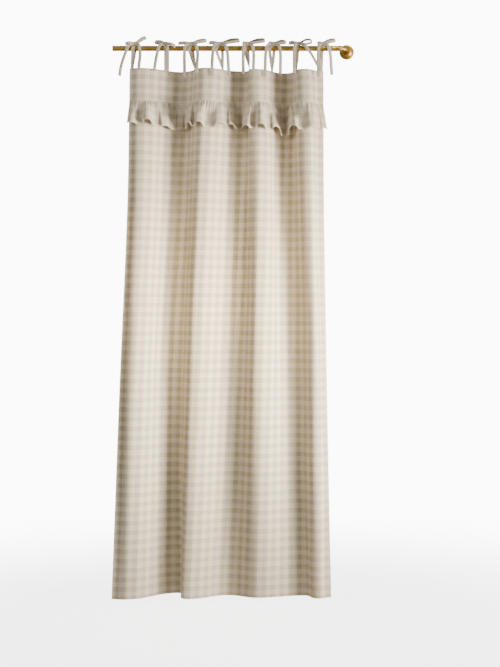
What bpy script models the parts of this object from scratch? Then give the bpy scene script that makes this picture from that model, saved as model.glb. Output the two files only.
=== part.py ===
"""A ruffled tie-top curtain panel hanging from a brass rod with a bent end.

Metres, +Z up. The origin is the middle of the wall flange's back face, which lies in the
plane y = 0. The curtain hangs on its -Y side, and +X points to the viewer's right.
"""

import math
from collections import namedtuple

import bmesh
import bpy
from mathutils import Vector

MM = 0.001
GAP = 0.0005

ROD_RADIUS = 0.0111
ROD_TO_WALL = 0.090
ROD_LEFT_X = -0.949
BEND_RADIUS = 0.040
BEND_STRAIGHT = 0.006
BEND_STEPS = 12
JOINT_GAP = 0.0003

# The wall flange's outline, from its middle out, and its height over its back face there.
FlangePoint = namedtuple("FlangePoint", "radius height")
FLANGE_HEIGHT = 0.015
FLANGE_OUTLINE = (
    FlangePoint(0.0, FLANGE_HEIGHT),
    FlangePoint(0.0141, FLANGE_HEIGHT),
    FlangePoint(0.0151, 0.014),
    FlangePoint(0.0195, 0.012),
    FlangePoint(0.0220, 0.010),
    FlangePoint(0.0225, 0.007),
    FlangePoint(0.0265, 0.006),
    FlangePoint(0.0295, 0.0048),
    FlangePoint(0.0305, 0.003),
    FlangePoint(0.0305, 0.0),
    FlangePoint(0.0, 0.0),
)

CLOTH = 0.0012
PANEL_WIDTH = 1.067
PANEL_DROP = 2.134
PANEL_TOP_Z = -0.087
PANEL_MIDDLE_X = -0.485
COLUMNS_PER_FOLD = 9

SEAM_BELOW_TOP = 0.130
SEAM_BAND = 0.006
RUFFLE_PER_COLUMN = 3

STRAP = 0.0014
STRAP_WIDTH = 0.013
STRAP_SEWN = 0.022
STRAP_EDGE_RISE = 0.006
HALVES_APART = Vector((0.0004, 0.0010, 0.0015))
TIE_EDGE = 0.010
KNOT_HALF = Vector((0.0085, 0.0070, 0.0070))

# A tie's two legs: how far up they face the front, where they meet the rod's side, and
# between which angles, in degrees above level, they bend over the rod.
LEG_TWISTED = 0.45
LEG_MEETS_Z = -0.006
LEG_BENDS_FROM = -25
LEG_BENDS_TO = 86
LEG_BENDS = 4

# A free end leaves the knot sideways, turns down over the rod and hangs before the heading.
END_LEAVES = 0.030
END_OVER_Z = 0.010
END_UNDER_Z = -0.022
END_EDGE_RISE = 0.008
END_CLEAR = 0.005

# Heights of the panel's rows, as shares of its drop.
SEAM_SHARE = SEAM_BELOW_TOP / PANEL_DROP
BAND_SHARE = (SEAM_BELOW_TOP + SEAM_BAND) / PANEL_DROP
PANEL_ROWS = (0.0, SEAM_SHARE, BAND_SHARE, 0.13, 0.22, 0.34, 0.47, 0.60, 0.73, 0.87, 1.0)

# Every crest and valley of the panel's folds, from its left edge to its right edge.
# cloth_top and cloth_hem: where the fold lies on the flat cloth, in mm from its left edge.
# The other columns: the fold's place across, in mm from the panel's middle, at each level.
PanelFold = namedtuple("PanelFold", "cloth_top cloth_hem x_top x_quarter x_waist x_hem")
FOLD_LEVELS = (0.0, 0.25, 0.60, 1.0)
PANEL_FOLDS = (
    PanelFold(0, 0, -390, -396, -427, -463),
    PanelFold(43, 64, -349, -352, -378, -402),
    PanelFold(236, 290, -182, -193, -215, -200),
    PanelFold(377, 392, -84, -105, -134, -165),
    PanelFold(558, 588, 62, 52, 34, 6),
    PanelFold(656, 724, 111, 125, 126, 128),
    PanelFold(822, 916, 234, 242, 271, 312),
    PanelFold(958, 1008, 311, 333, 358, 369),
    PanelFold(1067, 1067, 390, 392, 404, 421),
)

# The hem hangs a little higher round one of the folds.
HEM_LIFT = 0.010
HEM_LIFT_FOLD = 2
HEM_LIFT_FOLDS = 0.8
HEM_LIFT_LEVEL = 0.8

# Every crest and valley of the ruffle. seam_x and hem_x: mm from the panel's middle.
# out: how far the hem stands in front of the panel there. drop: its depth below the seam.
RuffleFold = namedtuple("RuffleFold", "seam_x hem_x out drop")
RUFFLE_FOLDS = (
    RuffleFold(-387, -398, 16, 92),
    RuffleFold(-368, -380, 34, 92),
    RuffleFold(-342, -348, 7, 96),
    RuffleFold(-316, -311, 42, 80),
    RuffleFold(-292, -281, 9, 101),
    RuffleFold(-256, -241, 36, 101),
    RuffleFold(-222, -216, 8, 112),
    RuffleFold(-190, -190, 24, 108),
    RuffleFold(-162, -172, 7, 108),
    RuffleFold(-140, -154, 42, 90),
    RuffleFold(-118, -131, 9, 104),
    RuffleFold(-98, -115, 40, 88),
    RuffleFold(-64, -68, 14, 111),
    RuffleFold(-28, -16, 42, 91),
    RuffleFold(-8, 2, 16, 96),
    RuffleFold(12, 16, 36, 92),
    RuffleFold(46, 46, 7, 108),
    RuffleFold(92, 77, 40, 101),
    RuffleFold(113, 105, 10, 111),
    RuffleFold(134, 141, 44, 95),
    RuffleFold(158, 170, 12, 116),
    RuffleFold(182, 202, 42, 101),
    RuffleFold(222, 231, 6, 132),
    RuffleFold(259, 265, 42, 100),
    RuffleFold(296, 307, 10, 113),
    RuffleFold(332, 344, 30, 106),
    RuffleFold(358, 368, 9, 104),
    RuffleFold(376, 394, 26, 104),
    RuffleFold(388, 405, 16, 106),
)
RUFFLE_ROWS = (0.0, 0.06, 0.30, 0.65, 1.0)
RUFFLE_CLEAR = 0.004
RUFFLE_ROUND = 0.75
RUFFLE_WINDOW = 0.022
RUFFLE_FLARE = 1.2

# The ties. knot_x: mm from the panel's middle. Everything else is in mm from the knot
# across and from the rod's middle upward: the two straps round the rod, how far each
# bow loop reaches, rises and opens, and where each free end hangs. forward: how far the
# free ends hang in front of the rod.
Tie = namedtuple(
    "Tie",
    "knot_x front_leg back_leg left_reach left_rise left_open right_reach right_rise "
    "right_open left_end_x left_end_z right_end_x right_end_z forward",
)
TIES = (
    Tie(-372, -8, -2, 38, 15, 0, 44, 44, 7, -57, -118, 22, -97, 4),
    Tie(-247, 0, 5, 46, 24, 10, 38, 6, 0, -44, -98, 8, -98, 4),
    Tie(-146, -6, 6, 52, 20, 4, 62, 32, 8, -25, -122, 28, -106, 4),
    Tie(-30, -14, 10, 44, 22, 5, 80, 33, 12, -27, -120, 38, -112, 4),
    Tie(81, -8, 2, 20, 20, 4, 72, 33, 12, -15, -104, 27, -110, 4),
    Tie(188, -16, 2, 22, 20, 4, 50, 25, 10, -34, -118, 28, -107, 4),
    Tie(289, -12, -4, 40, 21, 6, 54, 28, 18, -17, -104, 94, -92, 10),
    Tie(384, -14, 0, 20, 20, 4, 54, 33, 9, -15, -118, 39, -110, 4),
)

# A bow loop from the knot out to its tip and back. share: how far along its reach.
# apart: how far its layers have parted there, in parts of the opening. arch: in mm.
LoopStop = namedtuple("LoopStop", "share apart arch")
LOOP_STOPS = (
    LoopStop(0.50, -0.5, 3.0),
    LoopStop(0.88, -0.4, 1.5),
    LoopStop(1.00, 0.0, 0.0),
    LoopStop(0.88, 0.4, 1.5),
    LoopStop(0.50, 0.5, 3.0),
)
LOOP_DEEP = 0.012
LOOP_START = Vector((0, 0.0025, 0))

# A loop this low hangs against the front of the rod instead of lying on top of it.
LOW_LOOP_RISE = 0.018
LOW_LOOP_DEEP = 0.007
LOW_LOOP_FORWARD = 0.006


def clear_scene():
    for thing in list(bpy.data.objects):
        bpy.data.objects.remove(thing, do_unlink=True)


def make_collection(name):
    collection = bpy.data.collections.new(name)
    bpy.context.scene.collection.children.link(collection)
    return collection


def make_material(name, colour, roughness, metallic):
    material = bpy.data.materials.new(name)
    material.use_nodes = True
    shader = material.node_tree.nodes["Principled BSDF"]
    shader.inputs["Base Color"].default_value = (*colour, 1.0)
    shader.inputs["Roughness"].default_value = roughness
    shader.inputs["Metallic"].default_value = metallic
    return material


def add_object(name, mesh, material, collection):
    thing = bpy.data.objects.new(name, mesh)
    collection.objects.link(thing)
    if material:
        mesh.materials.append(material)
    return thing


def adopt(thing, name, material, collection):
    """Give an object made by an operator its name, material and collection."""
    thing.name = name
    thing.data.name = name
    thing.data.materials.append(material)
    for holder in list(thing.users_collection):
        holder.objects.unlink(thing)
    collection.objects.link(thing)
    return thing


def sheet_mesh(name, grid):
    """An open sheet through rows of points, its first row on top, facing -Y."""
    mesh = bpy.data.meshes.new(name)
    shape = bmesh.new()
    rows = [[shape.verts.new(point) for point in row] for row in grid]
    for upper, lower in zip(rows, rows[1:]):
        for left in range(len(upper) - 1):
            shape.faces.new((upper[left], lower[left], lower[left + 1], upper[left + 1]))
    shape.to_mesh(mesh)
    shape.free()
    return mesh


def thicken(thing, thickness):
    solid = thing.modifiers.new("Thickness", "SOLIDIFY")
    solid.thickness = thickness
    solid.offset = 0.0
    solid.use_even_offset = True
    return thing


def mix(start, end, share):
    return start + (end - start) * share


def smooth_through(stations, values, place):
    """Read a smooth curve through a few stations."""
    last = len(stations) - 2
    span = max(i for i in range(last + 1) if stations[i] <= place or i == 0)

    def slope(i):
        low = max(i - 1, 0)
        high = min(i + 1, last + 1)
        return (values[high] - values[low]) / (stations[high] - stations[low])

    width = stations[span + 1] - stations[span]
    t = (place - stations[span]) / width
    rise = values[span + 1] - values[span]
    start = slope(span) * width
    end = slope(span + 1) * width
    return values[span] + t * (start + t * (3 * rise - 2 * start - end + t * (start + end - 2 * rise)))


def fold_steps(length, swing):
    """Steps along half a fold whose direction swings out and back as a sine."""
    slices = 8
    steps = []
    for column in range(COLUMNS_PER_FOLD):
        across = 0.0
        deep = 0.0
        for i in range(slices):
            angle = swing * math.sin(math.pi * (column + (i + 0.5) / slices) / COLUMNS_PER_FOLD)
            across += math.cos(angle)
            deep += math.sin(angle)
        step = length / (COLUMNS_PER_FOLD * slices)
        steps.append((across * step, deep * step))
    return steps


def swing_for(length, across):
    """The swing that lets half a fold of this cloth length span this much across."""
    low = 0.0
    high = 2.4
    for _ in range(40):
        swing = (low + high) / 2
        if sum(step[0] for step in fold_steps(length, swing)) > across:
            low = swing
        else:
            high = swing
    return low


def panel_row(level):
    """One row of the panel's points, as spare cloth bends it forward and back."""
    stops = []
    for fold in PANEL_FOLDS:
        places = (fold.x_top, fold.x_quarter, fold.x_waist, fold.x_hem)
        across = smooth_through(FOLD_LEVELS, places, level) * MM
        stops.append((mix(fold.cloth_top, fold.cloth_hem, level) * MM, across))
    x = stops[0][1]
    y = 0.0
    points = [(x, y)]
    for fold, (start, end) in enumerate(zip(stops, stops[1:])):
        towards = -1 if fold % 2 == 0 else 1
        length = end[0] - start[0]
        for across, deep in fold_steps(length, swing_for(length, end[1] - start[1])):
            x += across
            y += towards * deep
            points.append((x, y))
    turns = [points[i * COLUMNS_PER_FOLD][1] for i in range(1, len(PANEL_FOLDS) - 1)]
    middle = sum(turns) / len(turns)
    z = PANEL_TOP_Z - PANEL_DROP * level
    row = []
    for column, (px, py) in enumerate(points):
        away = (column / COLUMNS_PER_FOLD - HEM_LIFT_FOLD) / HEM_LIFT_FOLDS
        near_hem = max(0.0, level - HEM_LIFT_LEVEL) / (1 - HEM_LIFT_LEVEL)
        lift = HEM_LIFT * math.exp(-away * away) * near_hem
        row.append(Vector((PANEL_MIDDLE_X + px, -ROD_TO_WALL + py - middle, z + lift)))
    return row


def grid_point(grid, row, column):
    """A point on the panel's facets between its rows and columns."""
    i = min(int(row), len(grid) - 2)
    j = min(int(column), len(grid[0]) - 2)
    upper = grid[i][j].lerp(grid[i][j + 1], column - j)
    lower = grid[i + 1][j].lerp(grid[i + 1][j + 1], column - j)
    return upper.lerp(lower, row - i)


def grid_normal(grid, row, column):
    """The panel's outward direction, mitred where two facets meet."""
    near = 0.02
    last = len(grid[0]) - 1
    before = grid_point(grid, row, max(column - near, 0.0))
    here = grid_point(grid, row, column)
    after = grid_point(grid, row, min(column + near, float(last)))
    sides = []
    for start, end in ((before, here), (here, after)):
        along = end - start
        if along.length > 1e-7:
            sides.append(Vector((along.y, -along.x, 0.0)).normalized())
    middle = sum(sides, Vector()).normalized()
    return middle / middle.dot(sides[0])


def column_at_x(row, x):
    """The column of a row that lies at this place across."""
    for column in range(len(row) - 1):
        if row[column].x <= x <= row[column + 1].x:
            return column + (x - row[column].x) / (row[column + 1].x - row[column].x)
    return 0.0 if x < row[0].x else float(len(row) - 1)


def front_at_x(row, x):
    """How far forward a row of the panel comes at this place across."""
    column = column_at_x(row, x)
    left = min(int(column), len(row) - 2)
    return mix(row[left].y, row[left + 1].y, column - left)


def front_near(row, x, reach):
    """The foremost part of a row within some reach to both sides."""
    steps = 8
    return min(front_at_x(row, x + reach * (i / steps * 2 - 1)) for i in range(steps + 1))


def build_panel(material, collection):
    grid = [panel_row(level) for level in PANEL_ROWS]
    panel = add_object("panel", sheet_mesh("panel", grid), material, collection)
    thicken(panel, CLOTH)
    return grid


def ruffle_hem(share, fold):
    """A point of the ruffle's hem: across, out from the panel and below the seam."""
    start = RUFFLE_FOLDS[fold]
    end = RUFFLE_FOLDS[fold + 1]
    along = share + RUFFLE_ROUND * math.sin(2 * math.pi * share) / (2 * math.pi)
    swell = (1 - math.cos(math.pi * share)) / 2
    return mix(start.hem_x, end.hem_x, along), mix(start.out, end.out, swell), mix(start.drop, end.drop, swell)


def build_ruffle(grid, material, collection):
    seam_row = PANEL_ROWS.index(SEAM_SHARE)
    seam = grid[seam_row]
    marks = [column_at_x(seam, PANEL_MIDDLE_X + fold.seam_x * MM) for fold in RUFFLE_FOLDS]
    marks[0] = 0.0
    marks[-1] = float(len(seam) - 1)
    columns = RUFFLE_PER_COLUMN * (len(seam) - 1)
    rows = [[] for _ in RUFFLE_ROWS]
    for index in range(columns + 1):
        column = index / RUFFLE_PER_COLUMN
        fold = max(i for i in range(len(marks) - 1) if marks[i] <= column or i == 0)
        share = (column - marks[fold]) / (marks[fold + 1] - marks[fold])
        hem_x, out, drop = ruffle_hem(share, fold)
        hem_x = PANEL_MIDDLE_X + hem_x * MM
        hem_y = front_near(seam, hem_x, RUFFLE_WINDOW) - out * MM
        outward = grid_normal(grid, seam_row, column) * (CLOTH + GAP)
        top = grid_point(grid, seam_row, column) + outward
        for row, level in zip(rows, RUFFLE_ROWS):
            if level == RUFFLE_ROWS[1]:
                row.append(grid_point(grid, seam_row + 1, column) + outward)
                continue
            x = mix(top.x, hem_x, level)
            y = mix(top.y, hem_y, math.sin(level * math.pi / 2) ** RUFFLE_FLARE)
            if level > 0:
                y = min(y, front_near(seam, x, RUFFLE_CLEAR) - RUFFLE_CLEAR)
            row.append(Vector((x, y, top.z - drop * MM * level)))
    ruffle = add_object("ruffle", sheet_mesh("ruffle", rows), material, collection)
    return thicken(ruffle, CLOTH)


def smooth_route(stops, per_span):
    """A strap's points, and which way it lies there, from a smooth curve through its stops."""
    route = []
    stations = list(range(len(stops)))
    for i in range((len(stops) - 1) * per_span + 1):
        place = i / per_span
        point = Vector([smooth_through(stations, [stop[0][a] for stop in stops], place) for a in range(3)])
        side = Vector([smooth_through(stations, [stop[1][a] for stop in stops], place) for a in range(3)])
        route.append((point, side.normalized()))
    return route


def strap_solid(name, route, collection):
    """A flat strap along a route, as a closed mesh for the tie that it joins."""
    half = STRAP_WIDTH / 2
    grid = [[point - side * half, point + side * half] for point, side in route]
    strap = add_object(name, sheet_mesh(name, grid), None, collection)
    thicken(strap, STRAP)
    strap.modifiers.new("Flat faces", "TRIANGULATE")
    return strap


def leg_route(sewn, side, back, leg_x, knot, front, outer):
    """From the sewn end up past the rod on one side, then over it into the knot.

    The strap is sewn at its middle, so there its outer half lies on its inner half.
    """
    forward = -1 if front else 1
    reach = ROD_RADIUS + GAP + STRAP / 2
    sewn_down = STRAP_SEWN
    across = Vector((1, 0, 0))
    if outer:
        reach += HALVES_APART.x
        sewn_down -= HALVES_APART.z
        sewn = sewn + back * HALVES_APART.y + side * HALVES_APART.x
    bottom = sewn - Vector((0, 0, sewn_down))
    edge = sewn + Vector((0, 0, STRAP_EDGE_RISE))
    beside = Vector((leg_x, -ROD_TO_WALL + forward * reach, LEG_MEETS_Z))
    above_edge = edge.lerp(beside, LEG_TWISTED)
    half_turned = side.lerp(across, 0.5)
    route = [(bottom, side), (sewn, side), (edge, side), (above_edge, half_turned), (beside, across)]
    for i in range(1, LEG_BENDS + 1):
        angle = math.radians(mix(LEG_BENDS_FROM, LEG_BENDS_TO, i / LEG_BENDS))
        x = mix(leg_x, knot.x, i / LEG_BENDS)
        y = -ROD_TO_WALL + forward * reach * math.cos(angle)
        route.append((Vector((x, y, reach * math.sin(angle))), across))
    return route


def loop_route(knot, reach, rise, opening):
    """One bow loop, out from the knot and back, a lower front layer and a higher back one."""
    tip = Vector((knot.x + reach, knot.y, rise))
    gap = Vector((0, LOOP_DEEP, opening))
    if rise < LOW_LOOP_RISE:
        tip.y = -ROD_TO_WALL - ROD_RADIUS - LOW_LOOP_FORWARD
        gap.y = LOW_LOOP_DEEP
    side = (tip - knot).cross(gap).normalized() * math.copysign(1, reach)
    stops = [(knot - LOOP_START, side)]
    for stop in LOOP_STOPS:
        place = knot.lerp(tip, stop.share) + gap * stop.apart
        place.y = tip.y + gap.y * stop.apart
        place.z += stop.arch * MM
        stops.append((place, side))
    stops.append((knot + LOOP_START, side))
    return stops


def end_route(knot, end_x, end_z, forward, top_row):
    """One free end, over the front of the rod and down before the heading."""
    hang_x = knot.x + end_x
    rod_front = -ROD_TO_WALL - ROD_RADIUS - forward
    below = min(rod_front, front_near(top_row, hang_x, STRAP_WIDTH) - END_CLEAR)
    turn = math.copysign(1, end_x)
    leave_x = knot.x + turn * min(abs(end_x), END_LEAVES)
    across = Vector((1, 0, 0))
    over = Vector((mix(knot.x, leave_x, 0.75), rod_front, END_OVER_Z))
    under = Vector((mix(leave_x, hang_x, 0.3), rod_front, END_UNDER_Z))
    edge = Vector((mix(leave_x, hang_x, 0.8), below, PANEL_TOP_Z + END_EDGE_RISE))
    stops = (
        (knot - Vector((0, 0.001, 0)), Vector((0, 0.3, 1)) * turn),
        (over, Vector((1, 0, turn))),
        (under, across),
        (edge, across),
        (Vector((hang_x, below, end_z)), across),
    )
    return smooth_route(stops, 2)


def sewn_place(grid, column, outward, along):
    """Where a strap lies flat against the back of the cloth at its top edge."""
    middle = grid_point(grid, 0, column)
    deepest = 0.0
    for row in (grid[0], grid[1]):
        for point in row:
            away = point - middle
            away.z = 0.0
            if abs(away.dot(along)) < STRAP_WIDTH and away.length < 3 * STRAP_WIDTH:
                deepest = max(deepest, -away.dot(outward))
    return middle - outward * (deepest + CLOTH / 2 + GAP + STRAP / 2)


def build_tie(number, tie, grid, material, collection, pieces):
    name = "tie_%d" % number
    cloth = mix(TIE_EDGE, PANEL_WIDTH - TIE_EDGE, (number - 1) / (len(TIES) - 1))
    column = cloth_column(cloth)
    outward = grid_normal(grid, 0, column).normalized()
    along = Vector((-outward.y, outward.x, 0))
    sewn = sewn_place(grid, column, outward, along)
    knot = Vector((PANEL_MIDDLE_X + tie.knot_x * MM, -ROD_TO_WALL, ROD_RADIUS + GAP + KNOT_HALF.z))

    cutters = bpy.data.collections.new(name + "_pieces")
    pieces.children.link(cutters)
    top = grid[0]
    front_x = knot.x + tie.front_leg * MM
    back_x = knot.x + tie.back_leg * MM
    front_outer = (back_x - front_x) * outward.x > 0
    routes = (
        ("front_leg", leg_route(sewn, along, -outward, front_x, knot, True, front_outer)),
        ("back_leg", leg_route(sewn, along, -outward, back_x, knot, False, not front_outer)),
        ("left_loop", loop_route(knot, -tie.left_reach * MM, tie.left_rise * MM, tie.left_open * MM)),
        ("right_loop", loop_route(knot, tie.right_reach * MM, tie.right_rise * MM, tie.right_open * MM)),
        ("left_end", end_route(knot, tie.left_end_x * MM, tie.left_end_z * MM, tie.forward * MM, top)),
        ("right_end", end_route(knot, tie.right_end_x * MM, tie.right_end_z * MM, tie.forward * MM, top)),
    )
    for piece, route in routes:
        strap = strap_solid(name + "_" + piece, route, cutters)
        strap.hide_render = True
        strap.display_type = "WIRE"

    bpy.ops.mesh.primitive_uv_sphere_add(segments=10, ring_count=6, radius=1.0, location=knot)
    body = bpy.context.object
    body.scale = KNOT_HALF
    bpy.ops.object.transform_apply(location=False, rotation=False, scale=True)
    adopt(body, name, material, collection)
    union = body.modifiers.new("Straps", "BOOLEAN")
    union.operation = "UNION"
    union.solver = "EXACT"
    union.operand_type = "COLLECTION"
    union.collection = cutters
    return body


def cloth_column(cloth):
    """The panel's column at this place along its top edge, measured on the flat cloth."""
    for fold, (start, end) in enumerate(zip(PANEL_FOLDS, PANEL_FOLDS[1:])):
        if cloth <= end.cloth_top * MM:
            share = (cloth / MM - start.cloth_top) / (end.cloth_top - start.cloth_top)
            return (fold + share) * COLUMNS_PER_FOLD
    return float((len(PANEL_FOLDS) - 1) * COLUMNS_PER_FOLD)


def build_rod(material, collection):
    length = -BEND_RADIUS - BEND_STRAIGHT - ROD_LEFT_X
    bpy.ops.mesh.primitive_cylinder_add(
        vertices=24,
        radius=ROD_RADIUS,
        depth=length,
        location=(ROD_LEFT_X + length / 2, -ROD_TO_WALL, 0),
        rotation=(0, math.pi / 2, 0),
    )
    rod = adopt(bpy.context.object, "rod", material, collection)
    rod.data.shade_smooth()
    rod.data.set_sharp_from_angle(angle=math.radians(40))
    return rod


def build_rod_return(material, collection):
    route = [Vector((-BEND_RADIUS - BEND_STRAIGHT + JOINT_GAP, -ROD_TO_WALL, 0))]
    for i in range(BEND_STEPS + 1):
        angle = math.pi / 2 * i / BEND_STEPS
        x = -BEND_RADIUS + BEND_RADIUS * math.sin(angle)
        y = -ROD_TO_WALL + BEND_RADIUS * (1 - math.cos(angle))
        route.append(Vector((x, y, 0)))
    route.append(Vector((0, -FLANGE_HEIGHT - JOINT_GAP, 0)))

    curve = bpy.data.curves.new("rod_return", "CURVE")
    curve.dimensions = "3D"
    curve.bevel_depth = ROD_RADIUS
    curve.bevel_resolution = 8
    curve.use_fill_caps = True
    spline = curve.splines.new("POLY")
    spline.points.add(len(route) - 1)
    for point, place in zip(spline.points, route):
        point.co = (*place, 1.0)
    return add_object("rod_return", curve, material, collection)


def build_wall_flange(material, collection):
    """A stepped round plate, turned about the axis of the rod's return."""
    mesh = bpy.data.meshes.new("wall_flange")
    edges = [(i, i + 1) for i in range(len(FLANGE_OUTLINE) - 1)]
    mesh.from_pydata([(point.radius, 0.0, point.height) for point in FLANGE_OUTLINE], edges, [])
    flange = add_object("wall_flange", mesh, material, collection)
    flange.rotation_euler = (math.pi / 2, 0, 0)
    turn = flange.modifiers.new("Turn", "SCREW")
    turn.steps = 32
    turn.render_steps = 32
    turn.use_merge_vertices = True
    turn.merge_threshold = 0.0001
    return flange


def main():
    clear_scene()
    parts = make_collection("ruffled_curtain_with_rod")
    pieces = make_collection("tie_pieces")
    cloth = make_material("check_cloth", (0.66, 0.58, 0.48), 0.9, 0.0)
    ruffle_cloth = make_material("ruffle_cloth", (0.62, 0.54, 0.44), 0.9, 0.0)
    strap_cloth = make_material("strap_cloth", (0.50, 0.44, 0.36), 0.9, 0.0)
    brass = make_material("brass", (0.60, 0.38, 0.12), 0.3, 1.0)

    grid = build_panel(cloth, parts)
    build_ruffle(grid, ruffle_cloth, parts)
    for number, tie in enumerate(TIES, start=1):
        build_tie(number, tie, grid, strap_cloth, parts, pieces)
    build_rod(brass, parts)
    build_rod_return(brass, parts)
    build_wall_flange(brass, parts)


main()
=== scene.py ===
"""A ruffled tie-top curtain in tone-on-tone check, hung by eight bows from a brass rod.

Metres, +Z up. The origin is the middle of the wall flange's back face, which lies in the
plane y = 0. The curtain hangs on its -Y side, and +X points to the viewer's right.
"""

import math
from collections import namedtuple

import bpy
import numpy as np
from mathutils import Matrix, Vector, noise


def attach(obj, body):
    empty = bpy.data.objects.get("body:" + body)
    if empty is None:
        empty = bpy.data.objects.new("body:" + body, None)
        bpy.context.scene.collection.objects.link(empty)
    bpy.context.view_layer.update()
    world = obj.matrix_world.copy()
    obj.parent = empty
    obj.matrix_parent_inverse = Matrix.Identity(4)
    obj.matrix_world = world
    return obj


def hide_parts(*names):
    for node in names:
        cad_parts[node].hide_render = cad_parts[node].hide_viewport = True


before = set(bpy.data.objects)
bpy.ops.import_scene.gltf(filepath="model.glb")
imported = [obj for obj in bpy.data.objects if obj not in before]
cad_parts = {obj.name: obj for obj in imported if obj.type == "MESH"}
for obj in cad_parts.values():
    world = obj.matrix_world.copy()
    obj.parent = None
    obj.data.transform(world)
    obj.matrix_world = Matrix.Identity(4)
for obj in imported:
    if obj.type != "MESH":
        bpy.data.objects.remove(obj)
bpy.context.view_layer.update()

MM = 0.001

# The camera looks level from nearly half way down the drop. Its shift sets the frame.
CAMERA_PLACE = (-0.1092, -5.89, -1.0541)
CAMERA_LENS = 77.39
CAMERA_SHIFT = (-0.105, -0.0367)

# How bright the backdrop looks to the camera. More would eat into the thin straps' edges.
BACKDROP = 11.0
ROOM_LIGHT = 0.44

# The floor. It glows a little for the camera near the curtain, and fades into the backdrop
# between two distances from its middle.
FLOOR_RADIUS = 3.4
FLOOR_BELOW_HEM = 0.022
FLOOR_GLOW = 4.2
FLOOR_FADES = (0.9, 3.2)

# The area lamps. aim: the point that a lamp faces. power: in watts. spread: in degrees.
Lamp = namedtuple("Lamp", "name place aim width height power colour spread")
LAMPS = (
    Lamp("key", (3.685, -1.605, -1.6), (-0.45, -0.1, -1.05), 1.6, 1.6, 66.0, (1.0, 0.955, 0.88), 60.0),
    Lamp("beam", (3.36, -2.30, -1.2), (-0.45, -0.1, -1.2), 1.8, 1.2, 32.0, (1.0, 0.955, 0.88), 32.0),
    Lamp("glow", (-1.5, 1.6, -1.0), (-0.45, -0.1, -1.0), 0.6, 0.6, 22.0, (1.0, 0.98, 0.96), 34.0),
    Lamp("heading", (-3.0, -2.0, 0.3), (-0.5, -0.1, -0.15), 1.2, 0.4, 1.4, (1.0, 0.96, 0.90), 24.0),
    Lamp("elbow", (0.6, -1.6, 1.5), (-0.01, -0.1, 0.0), 0.14, 0.14, 0.08, (1.0, 0.97, 0.92), 3.0),
)

ROD_RADIUS = 0.0111
ROD_TO_WALL = 0.090
ROD_LEFT_X = -0.949
BEND_RADIUS = 0.040
BEND_STRAIGHT = 0.006

# The wall flange's outline, from its middle out, and its height over its back face there.
FlangePoint = namedtuple("FlangePoint", "radius height")
FLANGE_HEIGHT = 0.015
FLANGE_OUTLINE = (
    FlangePoint(0.0, FLANGE_HEIGHT),
    FlangePoint(0.0138, FLANGE_HEIGHT),
    FlangePoint(0.0148, 0.0145),
    FlangePoint(0.0156, 0.0136),
    FlangePoint(0.0190, 0.0121),
    FlangePoint(0.0210, 0.0107),
    FlangePoint(0.0221, 0.0090),
    FlangePoint(0.0226, 0.0074),
    FlangePoint(0.0238, 0.0065),
    FlangePoint(0.0265, 0.0060),
    FlangePoint(0.0287, 0.0054),
    FlangePoint(0.0299, 0.0043),
    FlangePoint(0.0305, 0.0026),
    FlangePoint(0.0305, 0.0),
    FlangePoint(0.0, 0.0),
)

CLOTH = 0.0010
RUFFLE_CLOTH = 0.0008
HEM_CLOTH = 0.0018
PANEL_WIDTH = 1.067
PANEL_DROP = 2.134
PANEL_TOP_Z = -0.087
PANEL_MIDDLE_X = -0.485
SEAM_BELOW_TOP = 0.130

# The panel's points: columns to each half fold, rows down to BODY_FROM and rows below it.
PANEL_COLUMNS = 26
HEADING_ROWS = 30
BODY_ROWS = 104
BODY_FROM = 0.20

TOP_HEM = 0.022
SIDE_HEM = 0.014
BOTTOM_HEM = 0.040

# Every crest and valley of the panel's folds, from its left edge to its right edge.
# cloth_top and cloth_hem: where the fold lies on the flat cloth, in mm from its left edge.
# The other columns: the fold's place across, in mm from the panel's middle, at each level.
PanelFold = namedtuple("PanelFold", "cloth_top cloth_hem x_top x_quarter x_waist x_hem")
FOLD_LEVELS = (0.0, 0.25, 0.60, 1.0)
PANEL_FOLDS = (
    PanelFold(0, 0, -390, -396, -427, -463),
    PanelFold(43, 64, -349, -352, -378, -402),
    PanelFold(236, 290, -182, -193, -215, -200),
    PanelFold(377, 392, -84, -105, -134, -165),
    PanelFold(558, 588, 62, 52, 34, 6),
    PanelFold(656, 724, 111, 125, 126, 128),
    PanelFold(822, 916, 234, 242, 271, 312),
    PanelFold(958, 1008, 311, 333, 358, 369),
    PanelFold(1067, 1067, 390, 392, 404, 421),
)
# The hem rises a little at one fold: over how many folds, and from which level down.
HEM_LIFT = 0.010
HEM_LIFT_FOLD = 2
HEM_LIFT_FOLDS = 0.8
HEM_LIFT_LEVEL = 0.8

# How far the top edge sags between its ties, in mm: at a place across, in mm from the
# panel's middle, over a half width.
HeadingSag = namedtuple("HeadingSag", "x drop half_width")
HEADING_SAGS = (
    HeadingSag(-330, -1, 45),
    HeadingSag(-200, 2, 40),
    HeadingSag(-95, -1, 50),
    HeadingSag(52, -2, 45),
    HeadingSag(225, 2, 45),
    HeadingSag(330, -1, 60),
)
# How far down the sags reach, and how quickly they fade on the way.
HEADING = 0.10
SAG_FADE = 1.6

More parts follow.
